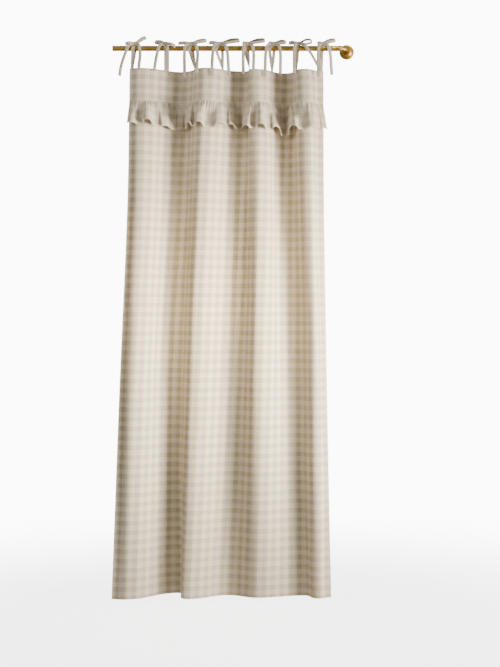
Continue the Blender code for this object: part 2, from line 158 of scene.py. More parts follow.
# Soft creases pressed into the panel. cloth: mm from the left edge of the flat
# cloth. top and end: mm below the top edge. lean: how far it drifts across on its way.
Crease = namedtuple("Crease", "cloth top end half_width depth lean")
CREASES = (
    Crease(62, 240, 1250, 9, -1.6, 8),
    Crease(128, 700, 2134, 14, 1.8, -14),
    Crease(196, 160, 900, 12, 1.4, 10),
    Crease(268, 1100, 2134, 16, -1.8, 12),
    Crease(352, 300, 1500, 10, 1.5, -10),
    Crease(446, 220, 1300, 12, -1.5, 12),
    Crease(508, 1200, 2134, 15, 1.8, -10),
    Crease(640, 180, 1000, 13, 1.3, 8),
    Crease(676, 1000, 2134, 14, -1.6, -8),
    Crease(790, 400, 1800, 12, 1.5, 10),
    Crease(908, 200, 1200, 11, -1.4, 8),
    Crease(974, 900, 2134, 15, 1.7, -12),
    Crease(1062, 300, 1700, 9, -1.4, 6),
)
CREASE_TAPER = 1.5

# Soft noise on the cloth: how high it stands, its size across and down the flat cloth, and
# the place in the noise that it is read from.
Unevenness = namedtuple("Unevenness", "height across down seed")
SOFT_FOLDS = Unevenness(0.0030, 0.16, 0.55, 3.1)
RUMPLES = Unevenness(0.0009, 0.035, 0.16, 7.7)
PUCKERS = Unevenness(0.0009, 0.0065, 0.06, 11.3)
HEM_WAVER = Unevenness(0.0015, 0.12, 9.0, 5.3)
GATHERS = Unevenness(0.0060, 0.021, 0.16, 2.2)
RUFFLE_RUMPLES = Unevenness(0.0012, 0.03, 0.05, 9.4)
# Over which depths each of them sets in or fades out.
SOFT_FOLDS_GROW = 0.4
PUCKERS_REACH = 0.028
HEM_WAVER_FROM = 1.9
HEM_WAVER_GROWS = 0.2
GATHERS_START = 0.008
GATHERS_FADE = 0.045
GATHERS_SHARP = 2.6
RUFFLE_RUMPLES_START = 0.03

# Every crest and valley of the ruffle. seam_x and hem_x: mm from the panel's middle.
# out: how far the hem stands in front of the panel there. drop: its depth below the seam.
RuffleFold = namedtuple("RuffleFold", "seam_x hem_x out drop")
RUFFLE_FOLDS = (
    RuffleFold(-387, -398, 16, 92),
    RuffleFold(-368, -380, 34, 92),
    RuffleFold(-342, -348, 7, 96),
    RuffleFold(-316, -311, 42, 80),
    RuffleFold(-292, -281, 9, 101),
    RuffleFold(-256, -241, 36, 101),
    RuffleFold(-222, -216, 8, 112),
    RuffleFold(-190, -190, 24, 108),
    RuffleFold(-162, -172, 7, 108),
    RuffleFold(-140, -154, 42, 90),
    RuffleFold(-118, -131, 9, 104),
    RuffleFold(-98, -115, 40, 88),
    RuffleFold(-64, -68, 14, 111),
    RuffleFold(-28, -16, 42, 91),
    RuffleFold(-8, 2, 16, 96),
    RuffleFold(12, 16, 36, 92),
    RuffleFold(46, 46, 7, 108),
    RuffleFold(92, 77, 40, 101),
    RuffleFold(113, 105, 10, 111),
    RuffleFold(134, 141, 44, 95),
    RuffleFold(158, 170, 12, 116),
    RuffleFold(182, 202, 42, 101),
    RuffleFold(222, 231, 6, 132),
    RuffleFold(259, 265, 42, 100),
    RuffleFold(296, 307, 10, 113),
    RuffleFold(332, 344, 30, 106),
    RuffleFold(358, 368, 9, 104),
    RuffleFold(376, 394, 26, 104),
    RuffleFold(388, 405, 16, 106),
)
RUFFLE_DEPTH = 0.112
RUFFLE_HEM = 0.006
RUFFLE_SEAM_TURN = 0.003
RUFFLE_SEAM_STITCH = 0.004
RUFFLE_COLUMNS = 24
RUFFLE_ROWS = 26
# Down to this share of its depth the ruffle lies on the panel, and below it swings out.
RUFFLE_BAND = 0.06
RUFFLE_FLARE = 1.2
RUFFLE_CLEAR = 0.004
RUFFLE_ROUND = 0.75
RUFFLE_WINDOW = 0.022
RUFFLE_HANGS = 0.1
SEAM_INSET = 0.0005
# How round the ruffle's hem hangs between two crests: 1.0 is a wave, more is a wide loop.
HEM_LOOP = 1.7

STRAP = 0.0013
STRAP_WIDTH = 0.013
STRAP_CROWN = 0.0005
STRAP_CLEAR = 0.0005
STRAP_STITCH = 0.0012
STRAP_SEWN = 0.022
STRAP_EDGE_RISE = 0.006
SEWN_CLEAR = 0.0002
SEWN_ROWS = 8
HALVES_APART = 0.0012
HALVES_STEP = 0.0015
TIE_EDGE = 0.010
KNOT_HALF = Vector((0.0085, 0.0070, 0.0070))

# A tie's two legs: how far up they face the front, where they meet the rod's side, and
# between which angles, in degrees above level, they bend over the rod.
LEG_TWISTED = 0.45
LEG_MEETS_Z = -0.006
LEG_BENDS_FROM = -25
LEG_BENDS_TO = 86
LEG_BENDS = 4

# A free end leaves the knot sideways, turns down over the rod and hangs before the heading.
# END_OVER: its share of the way out to END_LEAVES above the rod. END_UNDER and END_LOW:
# its share of the way from there to where it hangs, below the rod and at the top edge.
END_START = 0.001
END_LEAVES = 0.030
END_OVER = 0.75
END_OVER_Z = 0.010
END_UNDER = 0.3
END_UNDER_Z = -0.022
END_LOW = 0.8
END_EDGE_RISE = 0.008
END_CLEAR = 0.005

# The band round the knot. WRAP_START: the angle that it starts from, in radians.
WRAP_STOPS = 12
WRAP_START = 0.6
WRAP_CLEAR = 0.0012
WRAP_TWIST = 0.1
WRAP_LEAN = 0.12

# The ties. knot_x: mm from the panel's middle. Everything else is in mm from the knot
# across and from the rod's middle upward: the two straps round the rod, how far each
# bow loop reaches, rises and opens, and where each free end hangs. forward: how far the
# free ends hang in front of the rod.
Tie = namedtuple(
    "Tie",
    "knot_x front_leg back_leg left_reach left_rise left_open right_reach right_rise "
    "right_open left_end_x left_end_z right_end_x right_end_z forward",
)
TIES = (
    Tie(-372, -8, -2, 38, 15, 0, 44, 44, 7, -57, -118, 22, -97, 4),
    Tie(-247, 0, 5, 46, 24, 10, 38, 6, 0, -44, -98, 8, -98, 4),
    Tie(-146, -6, 6, 52, 20, 4, 62, 32, 8, -25, -122, 28, -106, 4),
    Tie(-30, -14, 10, 44, 22, 5, 80, 33, 12, -27, -120, 38, -112, 4),
    Tie(81, -8, 2, 20, 20, 4, 72, 33, 12, -15, -104, 27, -110, 4),
    Tie(188, -16, 2, 22, 20, 4, 50, 25, 10, -34, -118, 28, -107, 4),
    Tie(289, -12, -4, 40, 21, 6, 54, 28, 18, -17, -104, 94, -92, 10),
    Tie(384, -14, 0, 20, 20, 4, 54, 33, 9, -15, -118, 39, -110, 4),
)

# A bow loop from the knot out to its tip and back. share: how far along its reach.
# apart: how far its layers have parted there, in parts of the opening. arch: in mm.
LoopStop = namedtuple("LoopStop", "share apart arch")
LOOP_STOPS = (
    LoopStop(0.50, -0.5, 3.0),
    LoopStop(0.88, -0.4, 1.5),
    LoopStop(1.00, 0.0, 0.0),
    LoopStop(0.88, 0.4, 1.5),
    LoopStop(0.50, 0.5, 3.0),
)
LOOP_DEEP = 0.012
LOOP_START = Vector((0, 0.0025, 0))

# A loop this low hangs against the front of the rod instead of lying on top of it.
LOW_LOOP_RISE = 0.018
LOW_LOOP_DEEP = 0.007
LOW_LOOP_FORWARD = 0.006

CHECK_REPEAT = 0.0381
YARN = 0.0006
# A band of the check fades into the next between these shares of the repeat.
BAND_FADES = (0.215, 0.285)
# Uneven threads, bars and wash: their size across and down the flat cloth, and their tone.
THREAD_SIZE = (0.0014, 0.045)
THREAD_TONE = 0.10
BAR_SIZE = (0.0075, 0.9)
BAR_TONE = 0.12
WASH_SIZE = (0.22, 0.30)
WASH_TONE = 0.06

# The cloths: the colours of their yarns, how much light comes through, the check's repeat
# and how far down it starts.
ClothLook = namedtuple("ClothLook", "pale dark sheer repeat row_phase")
PANEL_LOOK = ClothLook((0.85, 0.735, 0.59, 1.0), (0.57, 0.505, 0.35, 1.0), 0.32, CHECK_REPEAT, 0.0218)
# The ruffle is the panel's cloth. Its yarns are set darker here, the pale one most, as painted shade over
# the whole ruffle.
RUFFLE_LOOK_WITH_PAINTED_SHADE = ClothLook((0.75, 0.65, 0.51, 1.0), (0.56, 0.495, 0.35, 1.0), 0.22, CHECK_REPEAT, 0.0)
STRAP_LOOK = ClothLook((0.69, 0.60, 0.47, 1.0), (0.37, 0.315, 0.225, 1.0), 0.15, 0.008, 0.0)

BRASS_DARK = (0.375, 0.215, 0.046, 1.0)
BRASS_PALE = (0.445, 0.283, 0.064, 1.0)
BRASS_TINT = (0.95, 0.72, 0.42, 1.0)

# The axes of the flat cloth.
ACROSS = 0
DOWN = 1


def mix(start, end, share):
    return start + (end - start) * share


def smooth_through(stations, values, places):
    """Read a smooth curve through a few stations, at one place or at many."""
    stations = np.asarray(stations, float)
    values = np.asarray(values, float)
    last = len(stations) - 1
    low = np.maximum(np.arange(last + 1) - 1, 0)
    high = np.minimum(np.arange(last + 1) + 1, last)
    slopes = (values[high] - values[low]) / (stations[high] - stations[low])
    span = np.clip(np.searchsorted(stations, places, side="right") - 1, 0, last - 1)
    width = stations[span + 1] - stations[span]
    t = (places - stations[span]) / width
    rise = values[span + 1] - values[span]
    start = slopes[span] * width
    end = slopes[span + 1] * width
    return values[span] + t * (start + t * (3 * rise - 2 * start - end + t * (start + end - 2 * rise)))


def deselect():
    for thing in bpy.context.selected_objects:
        thing.select_set(False)


def make_active(thing):
    deselect()
    thing.select_set(True)
    bpy.context.view_layer.objects.active = thing


def apply_modifiers(thing):
    make_active(thing)
    for modifier in list(thing.modifiers):
        bpy.ops.object.modifier_apply(modifier=modifier.name)


def cloth_piece(name, grids, thickness, hem_thickness, hem_weights=None):
    """Cloth through grids of points, with the flat cloth as its UV map, in metres."""
    points = []
    places = []
    faces = []
    for grid, flat in grids:
        rows, columns = grid.shape[:2]
        first = len(points)
        points.extend(map(tuple, grid.reshape(-1, 3)))
        places.extend(map(tuple, flat.reshape(-1, 2)))
        for row in range(rows - 1):
            for column in range(columns - 1):
                corner = first + row * columns + column
                faces.append((corner, corner + columns, corner + columns + 1, corner + 1))
    mesh = bpy.data.meshes.new(name)
    mesh.from_pydata(points, [], faces)
    flat_map = mesh.uv_layers.new(name="Flat cloth")
    for loop in mesh.loops:
        flat_map.data[loop.index].uv = places[loop.vertex_index]
    piece = bpy.data.objects.new(name, mesh)
    bpy.context.scene.collection.objects.link(piece)

    solid = piece.modifiers.new("Thickness", "SOLIDIFY")
    solid.thickness = hem_thickness
    solid.offset = 0.0
    solid.use_even_offset = True
    if hem_weights is not None:
        group = piece.vertex_groups.new(name="Hem")
        for index, weight in enumerate(hem_weights.reshape(-1)):
            group.add([index], float(weight), "REPLACE")
        solid.vertex_group = "Hem"
        solid.thickness_vertex_group = thickness / hem_thickness
    apply_modifiers(piece)
    bpy.ops.object.shade_smooth_by_angle(angle=math.radians(50))
    return piece


# One half fold's direction swings out and back as a sine, finely sliced.
SLICES = 6
HALF_FOLD = np.sin(np.pi * (np.arange(PANEL_COLUMNS * SLICES) + 0.5) / (PANEL_COLUMNS * SLICES))
SWINGS = np.linspace(0.0, 2.4, 481)
SPANS = np.cos(SWINGS[:, None] * HALF_FOLD).mean(axis=1)


def half_fold(length, across):
    """Steps across and deep along half a fold of this cloth length."""
    swing = np.interp(-across / length, -SPANS, SWINGS)
    step = length / len(HALF_FOLD)
    steps_across = np.cos(swing * HALF_FOLD).reshape(-1, SLICES).sum(axis=1) * step
    steps_deep = np.sin(swing * HALF_FOLD).reshape(-1, SLICES).sum(axis=1) * step
    return steps_across, steps_deep


def panel_row(level):
    """One row of the panel: its points, and where they lie across the flat cloth."""
    stops = []
    for fold in PANEL_FOLDS:
        places = (fold.x_top, fold.x_quarter, fold.x_waist, fold.x_hem)
        across = float(smooth_through(FOLD_LEVELS, places, level)) * MM
        stops.append((mix(fold.cloth_top, fold.cloth_hem, level) * MM, across))
    x = [stops[0][1]]
    y = [0.0]
    flat = [stops[0][0]]
    for fold, (start, end) in enumerate(zip(stops, stops[1:])):
        towards = -1 if fold % 2 == 0 else 1
        length = end[0] - start[0]
        steps_across, steps_deep = half_fold(length, end[1] - start[1])
        x.extend(x[-1] + np.cumsum(steps_across))
        y.extend(y[-1] + towards * np.cumsum(steps_deep))
        flat.extend(start[0] + length * np.arange(1, PANEL_COLUMNS + 1) / PANEL_COLUMNS)
    y = np.array(y)
    y -= y[PANEL_COLUMNS:-1:PANEL_COLUMNS].mean()
    away = (np.arange(len(x)) / PANEL_COLUMNS - HEM_LIFT_FOLD) / HEM_LIFT_FOLDS
    lift = HEM_LIFT * np.exp(-away * away) * max(0.0, level - HEM_LIFT_LEVEL) / (1 - HEM_LIFT_LEVEL)
    z = PANEL_TOP_Z - PANEL_DROP * level + lift
    row = np.stack([PANEL_MIDDLE_X + np.array(x), -ROD_TO_WALL + y, z], axis=1)
    return row, np.array(flat)


def outward_normals(grid):
    """Which way each point of a grid faces, towards the viewer."""
    down = np.gradient(grid, axis=0)
    along = np.gradient(grid, axis=1)
    normals = np.cross(down, along)
    return normals / np.linalg.norm(normals, axis=2, keepdims=True)


def lengths_along(points):
    """How far along a line of points each of them lies."""
    steps = np.linalg.norm(np.diff(points, axis=0), axis=1)
    return np.concatenate([[0.0], np.cumsum(steps)])


def flat_row(across, down):
    """Where a row of points lies on the flat cloth."""
    return np.stack([across, np.full(len(across), down)], axis=1)


def uneven(flat, kind):
    """Soft noise over the flat cloth, from -1 to 1."""
    rows, columns = flat.shape[:2]
    out = np.zeros((rows, columns))
    for row in range(rows):
        for column in range(columns):
            u, v = flat[row, column]
            out[row, column] = noise.noise(Vector((u / kind.across, v / kind.down, kind.seed)))
    return out


def pressed_creases(u, v):
    """How far the creases raise each point of the flat cloth. One may run out at the hem."""
    raised = np.zeros(u.shape)
    for crease in CREASES:
        along = np.clip((v / MM - crease.top) / (crease.end - crease.top), 0.0, 1.0)
        turn = math.pi / 2 if crease.end * MM >= PANEL_DROP else math.pi
        strength = np.sin(along * turn) ** CREASE_TAPER
        away = (u / MM - crease.cloth - crease.lean * along) / crease.half_width
        raised += crease.depth * MM * strength * np.exp(-away * away)
    return raised


def build_panel():
    heading_drops = np.linspace(0.0, BODY_FROM, HEADING_ROWS)
    body_drops = np.linspace(BODY_FROM, PANEL_DROP, BODY_ROWS)[1:]
    drops = np.concatenate([heading_drops, body_drops])
    rows = [panel_row(drop / PANEL_DROP) for drop in drops]
    grid = np.stack([row for row, _ in rows])
    flat = np.stack([flat_row(across, drop) for (_, across), drop in zip(rows, drops)])
    u = flat[:, :, 0]
    v = flat[:, :, 1]

    raised = pressed_creases(u, v)
    below_heading = np.clip((v - HEADING) / SOFT_FOLDS_GROW, 0.0, 1.0)
    raised += SOFT_FOLDS.height * uneven(flat, SOFT_FOLDS) * below_heading
    raised += RUMPLES.height * uneven(flat, RUMPLES)
    near_seam = np.exp(-((v - SEAM_BELOW_TOP) / PUCKERS_REACH) ** 2)
    raised += PUCKERS.height * near_seam * uneven(flat, PUCKERS)
    grid = grid + outward_normals(grid) * raised[:, :, None]

    sagging = np.clip(1.0 - v / HEADING, 0.0, 1.0) ** SAG_FADE
    for sag in HEADING_SAGS:
        away = (grid[:, :, 0] - PANEL_MIDDLE_X - sag.x * MM) / (sag.half_width * MM)
        grid[:, :, 2] -= sag.drop * MM * np.exp(-away * away) * sagging
    near_hem = np.clip((v - HEM_WAVER_FROM) / HEM_WAVER_GROWS, 0.0, 1.0)
    grid[:, :, 2] += HEM_WAVER.height * uneven(flat, HEM_WAVER) * near_hem

    side_hems = (u < SIDE_HEM) | (u > PANEL_WIDTH - SIDE_HEM)
    hems = side_hems | (v < TOP_HEM) | (v > PANEL_DROP - BOTTOM_HEM)
    panel = cloth_piece("curtain_panel", [(grid, flat)], CLOTH, HEM_CLOTH, hems.astype(float))
    return panel, grid, flat


def front_near(row, x, reach):
    """The foremost part of a row within some reach to both sides."""
    shifts = np.linspace(-reach, reach, 9)
    return np.interp(x[..., None] + shifts, row[:, 0], row[:, 1]).min(axis=-1)


def row_at(grid, flat, drop):
    """A row of the panel at this depth below its top edge."""
    depths = flat[:, 0, 1]
    upper = min(int(np.searchsorted(depths, drop, side="right")) - 1, len(depths) - 2)
    share = (drop - depths[upper]) / (depths[upper + 1] - depths[upper])
    return mix(grid[upper], grid[upper + 1], share)


def read_columns(row, columns):
    """A row of points or directions, read at fractional column numbers."""
    numbers = np.arange(len(row))
    return np.stack([np.interp(columns, numbers, row[:, axis]) for axis in range(3)], axis=1)


def ruffle_columns(seam):
    """For each column of the ruffle: its place in the seam, and its hem's place and drop."""
    folds = len(RUFFLE_FOLDS) - 1
    place = np.arange(folds * RUFFLE_COLUMNS + 1) / RUFFLE_COLUMNS
    fold = np.minimum(place.astype(int), folds - 1)
    share = place - fold
    table = np.array(RUFFLE_FOLDS, float)
    start = RuffleFold(*table[fold].T)
    end = RuffleFold(*table[fold + 1].T)

    seam_x = PANEL_MIDDLE_X + mix(start.seam_x, end.seam_x, share) * MM
    seam_x = np.clip(seam_x, seam[0, 0] + SEAM_INSET, seam[-1, 0] - SEAM_INSET)
    columns = np.interp(seam_x, seam[:, 0], np.arange(len(seam)))
    rounded = share + RUFFLE_ROUND * np.sin(2 * np.pi * share) / (2 * np.pi)
    swell = (1 - np.cos(np.pi * share)) / 2
    hem_x = PANEL_MIDDLE_X + mix(start.hem_x, end.hem_x, rounded) * MM
    hem_y = front_near(seam, hem_x, RUFFLE_WINDOW) - mix(start.out, end.out, swell) * MM
    deepening = end.drop > start.drop
    hang = np.where(deepening, 1 - (1 - swell) ** HEM_LOOP, swell ** HEM_LOOP)
    drop = mix(start.drop, end.drop, hang) * MM
    return columns, hem_x, hem_y, drop


def build_ruffle(panel_grid, panel_flat):
    seam = row_at(panel_grid, panel_flat, SEAM_BELOW_TOP)
    columns, hem_x, hem_y, drop = ruffle_columns(seam)
    seam_row = int(np.searchsorted(panel_flat[:, 0, 1], SEAM_BELOW_TOP))
    facing = read_columns(outward_normals(panel_grid)[seam_row], columns)
    band = np.array([0.0, RUFFLE_BAND / 2, RUFFLE_BAND])
    levels = np.concatenate([band, np.linspace(RUFFLE_BAND, 1.0, RUFFLE_ROWS)[1:]])
    rows = []
    for level in levels:
        here = row_at(panel_grid, panel_flat, SEAM_BELOW_TOP + level * RUFFLE_HANGS)
        top = read_columns(here, columns) + facing * (HEM_CLOTH / 2 + CLOTH)
        x = top[:, 0]
        y = top[:, 1]
        if level > RUFFLE_BAND:
            x = mix(x, hem_x, level)
            y = mix(y, hem_y, math.sin(level * math.pi / 2) ** RUFFLE_FLARE)
            y = np.minimum(y, front_near(here, x, RUFFLE_CLEAR) - RUFFLE_CLEAR)
        z = seam[:, 2].mean() - drop * level
        rows.append(np.stack([x, y, z], axis=1))
    grid = np.stack(rows)
    along = lengths_along(grid[-1])
    flat = np.stack([flat_row(along, level * RUFFLE_DEPTH) for level in levels])
    v = flat[:, :, 1]

    gathered = np.exp(-v / GATHERS_FADE) * np.clip(v / GATHERS_START, 0.0, 1.0)
    pleats = np.clip(1.0 - GATHERS_SHARP * abs(uneven(flat, GATHERS)), 0.0, 1.0)
    grid = grid + outward_normals(grid) * (gathered * pleats * GATHERS.height)[:, :, None]
    below_seam = np.clip(v / RUFFLE_RUMPLES_START, 0.0, 1.0)
    rumples = uneven(flat, RUFFLE_RUMPLES) * RUFFLE_RUMPLES.height * below_seam
    grid = grid + outward_normals(grid) * rumples[:, :, None]

    hems = (v > RUFFLE_DEPTH - RUFFLE_HEM) | (v < RUFFLE_SEAM_TURN)
    ruffle = cloth_piece("curtain_ruffle", [(grid, flat)], RUFFLE_CLOTH, HEM_CLOTH, hems.astype(float))
    return ruffle, along[-1]


def smooth_route(stops, per_span):
    """A strap's points and the direction of its width there, on a curve through its stops."""
    stations = np.arange(len(stops))
    places = np.arange((len(stops) - 1) * per_span + 1) / per_span
    lines = []
    for values in zip(*stops):
        axes = [smooth_through(stations, [value[axis] for value in values], places) for axis in range(3)]
        lines.append(np.stack(axes, axis=1))
    points, sides = lines
    return points, sides / np.linalg.norm(sides, axis=1, keepdims=True)


def strap_grid(route):
    """A flat strap's rows across its width, a little fuller along its middle."""
    points, sides = route
    along = np.gradient(points, axis=0)
    normals = np.cross(along, sides)
    normals /= np.linalg.norm(normals, axis=1, keepdims=True)
    widths = np.linspace(-0.5, 0.5, 6)
    grid = points[:, None] + sides[:, None] * (widths * STRAP_WIDTH)[None, :, None]
    grid = grid + normals[:, None] * (STRAP_CROWN * (1 - (2 * widths) ** 2))[None, :, None]
    flat = np.stack([flat_row((widths + 0.5) * STRAP_WIDTH, down) for down in lengths_along(points)])
    return grid, flat


def leg_route(sewn, side, back, leg_x, knot, front, outer):
    """From the sewn end up past the rod on one side, then over it into the knot.

    The strap is sewn at its middle, so there its outer half lies on its inner half.
    """
    forward = -1 if front else 1
    reach = ROD_RADIUS + STRAP_CLEAR + STRAP / 2
    sewn_down = STRAP_SEWN
    across = Vector((1, 0, 0))
    if outer:
        sewn_down -= HALVES_STEP
        sewn = sewn + back * HALVES_APART
    bottom = sewn - Vector((0, 0, sewn_down))
    edge = sewn + Vector((0, 0, STRAP_EDGE_RISE))
    beside = Vector((leg_x, -ROD_TO_WALL + forward * reach, LEG_MEETS_Z))
    above_edge = edge.lerp(beside, LEG_TWISTED)
    half_turned = side.lerp(across, 0.5)
    stops = [(bottom, side), (sewn, side), (edge, side), (above_edge, half_turned), (beside, across)]
    for i in range(1, LEG_BENDS + 1):
        angle = math.radians(mix(LEG_BENDS_FROM, LEG_BENDS_TO, i / LEG_BENDS))
        x = mix(leg_x, knot.x, i / LEG_BENDS)
        y = -ROD_TO_WALL + forward * reach * math.cos(angle)
        stops.append((Vector((x, y, reach * math.sin(angle))), across))
    return smooth_route(stops, per_span=6)


def loop_route(knot, reach, rise, opening):
    """One bow loop, out from the knot and back, a lower front layer and a higher back one."""
    tip = Vector((knot.x + reach, knot.y, rise))
    gap = Vector((0, LOOP_DEEP, opening))
    if rise < LOW_LOOP_RISE:
        tip.y = -ROD_TO_WALL - ROD_RADIUS - LOW_LOOP_FORWARD
        gap.y = LOW_LOOP_DEEP
    side = (tip - knot).cross(gap).normalized() * math.copysign(1, reach)
    stops = [(knot - LOOP_START, side)]
    for stop in LOOP_STOPS:
        place = knot.lerp(tip, stop.share) + gap * stop.apart
        place.y = tip.y + gap.y * stop.apart
        place.z += stop.arch * MM
        stops.append((place, side))
    stops.append((knot + LOOP_START, side))
    return smooth_route(stops, per_span=6)


def end_route(knot, end_x, end_z, forward, top_row):
    """One free end, over the front of the rod and down before the heading."""
    hang_x = knot.x + end_x
    rod_front = -ROD_TO_WALL - ROD_RADIUS - forward
    heading_front = float(front_near(top_row, np.array(hang_x), STRAP_WIDTH)) - END_CLEAR
    below = min(rod_front, heading_front)
    turn = -1 if end_x < 0 else 1
    leave_x = knot.x + turn * min(abs(end_x), END_LEAVES)
    across = Vector((1, 0, 0))
    start = Vector((knot.x, knot.y - END_START, knot.z))
    over = Vector((mix(knot.x, leave_x, END_OVER), rod_front, END_OVER_Z))
    under = Vector((mix(leave_x, hang_x, END_UNDER), rod_front, END_UNDER_Z))
    low = Vector((mix(leave_x, hang_x, END_LOW), below, PANEL_TOP_Z + END_EDGE_RISE))
    stops = (
        (start, Vector((0, 0.3, 1)) * turn),
        (over, Vector((0.7, 0, 0.7 * turn))),
        (under, across),
        (low, across),
        (Vector((hang_x, below, end_z)), across),
    )
    return smooth_route(stops, per_span=8)


def wrap_route(knot):
    """The band that goes round the middle of the knot."""
    stops = []
    for i in range(WRAP_STOPS + 1):
        angle = 2 * math.pi * i / WRAP_STOPS + WRAP_START
        y = knot.y + math.cos(angle) * (KNOT_HALF.y + WRAP_CLEAR)
        z = knot.z + math.sin(angle) * (KNOT_HALF.z + WRAP_CLEAR)
        stops.append((Vector((knot.x, y, z)), Vector((1, WRAP_TWIST * math.sin(angle), WRAP_LEAN))))
    return smooth_route(stops, per_span=3)


def build_knot(name, knot):
    deselect()
    bpy.ops.mesh.primitive_uv_sphere_add(segments=20, ring_count=12, radius=1.0, location=knot)
    body = bpy.context.object
    body.name = name
    bpy.ops.object.mode_set(mode="EDIT")
    bpy.ops.mesh.select_all(action="SELECT")
    bpy.ops.transform.resize(value=tuple(KNOT_HALF), center_override=knot)
    bpy.ops.object.mode_set(mode="OBJECT")
    bpy.ops.object.transform_apply(location=True, rotation=True, scale=True)
    flat_map = body.data.uv_layers.active or body.data.uv_layers.new(name="Flat cloth")
    flat_map.name = "Flat cloth"
    for loop in body.data.loops:
        place = body.data.vertices[loop.vertex_index].co
        flat_map.data[loop.index].uv = (place.x - knot.x + STRAP_WIDTH / 2, place.z - knot.z)
    bpy.ops.object.shade_smooth()
    return body


def build_tie(number, tie, panel_grid, panel_flat):
    top = panel_grid[0]
    cloth = mix(TIE_EDGE, PANEL_WIDTH - TIE_EDGE, (number - 1) / (len(TIES) - 1))
    column = int(np.argmin(abs(panel_flat[0, :, 0] - cloth)))
    middle = Vector(top[column])
    facing = Vector(outward_normals(panel_grid)[0, column])
    facing.z = 0.0
    facing.normalize()
    along = Vector((-facing.y, facing.x, 0))
    near = panel_grid[:SEWN_ROWS].reshape(-1, 3) - np.array(middle)
    near[:, 2] = 0.0
    beside = abs(near @ np.array(along)) < STRAP_WIDTH
    close = beside & (np.linalg.norm(near, axis=1) < 3 * STRAP_WIDTH)
    deepest = max(0.0, float((-(near[close] @ np.array(facing))).max()))
    sewn = middle - facing * (deepest + HEM_CLOTH / 2 + STRAP / 2 + SEWN_CLEAR)
    sewn.z = PANEL_TOP_Z
    knot_z = ROD_RADIUS + STRAP_CLEAR + KNOT_HALF.z
    knot = Vector((PANEL_MIDDLE_X + tie.knot_x * MM, -ROD_TO_WALL, knot_z))
    front_x = knot.x + tie.front_leg * MM
    back_x = knot.x + tie.back_leg * MM
    front_outer = (back_x - front_x) * facing.x > 0
    routes = (
        leg_route(sewn, along, -facing, front_x, knot, True, front_outer),
        leg_route(sewn, along, -facing, back_x, knot, False, not front_outer),
        loop_route(knot, -tie.left_reach * MM, tie.left_rise * MM, tie.left_open * MM),
        loop_route(knot, tie.right_reach * MM, tie.right_rise * MM, tie.right_open * MM),
        end_route(knot, tie.left_end_x * MM, tie.left_end_z * MM, tie.forward * MM, top),
        end_route(knot, tie.right_end_x * MM, tie.right_end_z * MM, tie.forward * MM, top),
        wrap_route(knot),
    )
    grids = [strap_grid(route) for route in routes]
    name = "bow_%d" % number
    bow = cloth_piece(name, grids, STRAP, STRAP)
    knot_body = build_knot(name + "_knot", knot)
    make_active(bow)
    knot_body.select_set(True)
    bpy.ops.object.join()
    length = sum(float(flat[-1, 0, 1]) for _, flat in grids)
    return bow, length


def build_rod():
    """The straight rod: a drawn tube with a closed, softly broken end."""
    length = -BEND_RADIUS - BEND_STRAIGHT - ROD_LEFT_X
    deselect()
    bpy.ops.mesh.primitive_cylinder_add(
        vertices=64,
        radius=ROD_RADIUS,
        depth=length,
        location=(ROD_LEFT_X + length / 2, -ROD_TO_WALL, 0),
        rotation=(0, math.pi / 2, 0),
    )
    rod = bpy.context.object
    rod.name = "brass_rod"
    bpy.ops.object.transform_apply(location=True, rotation=True, scale=True)
    broken = rod.modifiers.new("Broken edge", "BEVEL")
    broken.width = 0.0008
    broken.segments = 3
    broken.limit_method = "ANGLE"
    broken.angle_limit = math.radians(60)
    apply_modifiers(rod)
    bpy.ops.object.shade_smooth_by_angle(angle=math.radians(40))
    return rod


def build_rod_return():
    bend = 32
    route = [(-BEND_RADIUS - BEND_STRAIGHT, -ROD_TO_WALL, 0)]
    for i in range(bend + 1):
        angle = math.pi / 2 * i / bend
        x = -BEND_RADIUS + BEND_RADIUS * math.sin(angle)
        y = -ROD_TO_WALL + BEND_RADIUS * (1 - math.cos(angle))
        route.append((x, y, 0))
    route.append((0, -FLANGE_HEIGHT + 0.002, 0))
    curve = bpy.data.curves.new("brass_return", "CURVE")
    curve.dimensions = "3D"
    curve.bevel_depth = ROD_RADIUS
    curve.bevel_resolution = 14
    curve.use_fill_caps = True
    spline = curve.splines.new("POLY")
    spline.points.add(len(route) - 1)
    for point, place in zip(spline.points, route):
        point.co = (*place, 1.0)
    piece = bpy.data.objects.new("brass_return", curve)
    bpy.context.scene.collection.objects.link(piece)
    make_active(piece)
    bpy.ops.object.convert(target="MESH")
    piece = bpy.context.object
    bpy.ops.object.shade_smooth_by_angle(angle=math.radians(40))
    return piece


def build_flange():
    """The stepped round plate, spun about the axis of the rod's return."""
    mesh = bpy.data.meshes.new("brass_flange")
    mesh.from_pydata([(point.radius, -point.height, 0.0) for point in FLANGE_OUTLINE],
                     [(i, i + 1) for i in range(len(FLANGE_OUTLINE) - 1)], [])
    flange = bpy.data.objects.new("brass_flange", mesh)
    bpy.context.scene.collection.objects.link(flange)
    make_active(flange)
    bpy.ops.object.mode_set(mode="EDIT")
    bpy.ops.mesh.select_all(action="SELECT")
    bpy.ops.mesh.spin(steps=72, angle=2 * math.pi, center=(0, 0, 0), axis=(0, 1, 0))
    bpy.ops.mesh.select_all(action="SELECT")
    bpy.ops.mesh.remove_doubles(threshold=0.00001)
    bpy.ops.mesh.normals_make_consistent(inside=False)
    bpy.ops.object.mode_set(mode="OBJECT")
    bpy.ops.object.shade_smooth_by_angle(angle=math.radians(35))
    return flange


def feed(tree, socket, value):
    """Give a socket a number, a colour or another node's output."""
    if isinstance(value, bpy.types.NodeSocket):
        tree.links.new(value, socket)
    else:
        socket.default_value = value


def put(tree, kind, settings=None, **inputs):
    """Add a node, with its settings and what its inputs are fed."""
    node = tree.nodes.new("ShaderNode" + kind)
    for name, value in (settings or {}).items():
        setattr(node, name, value)
    for name, value in inputs.items():
        feed(tree, node.inputs[name.replace("_", " ")], value)
    return node


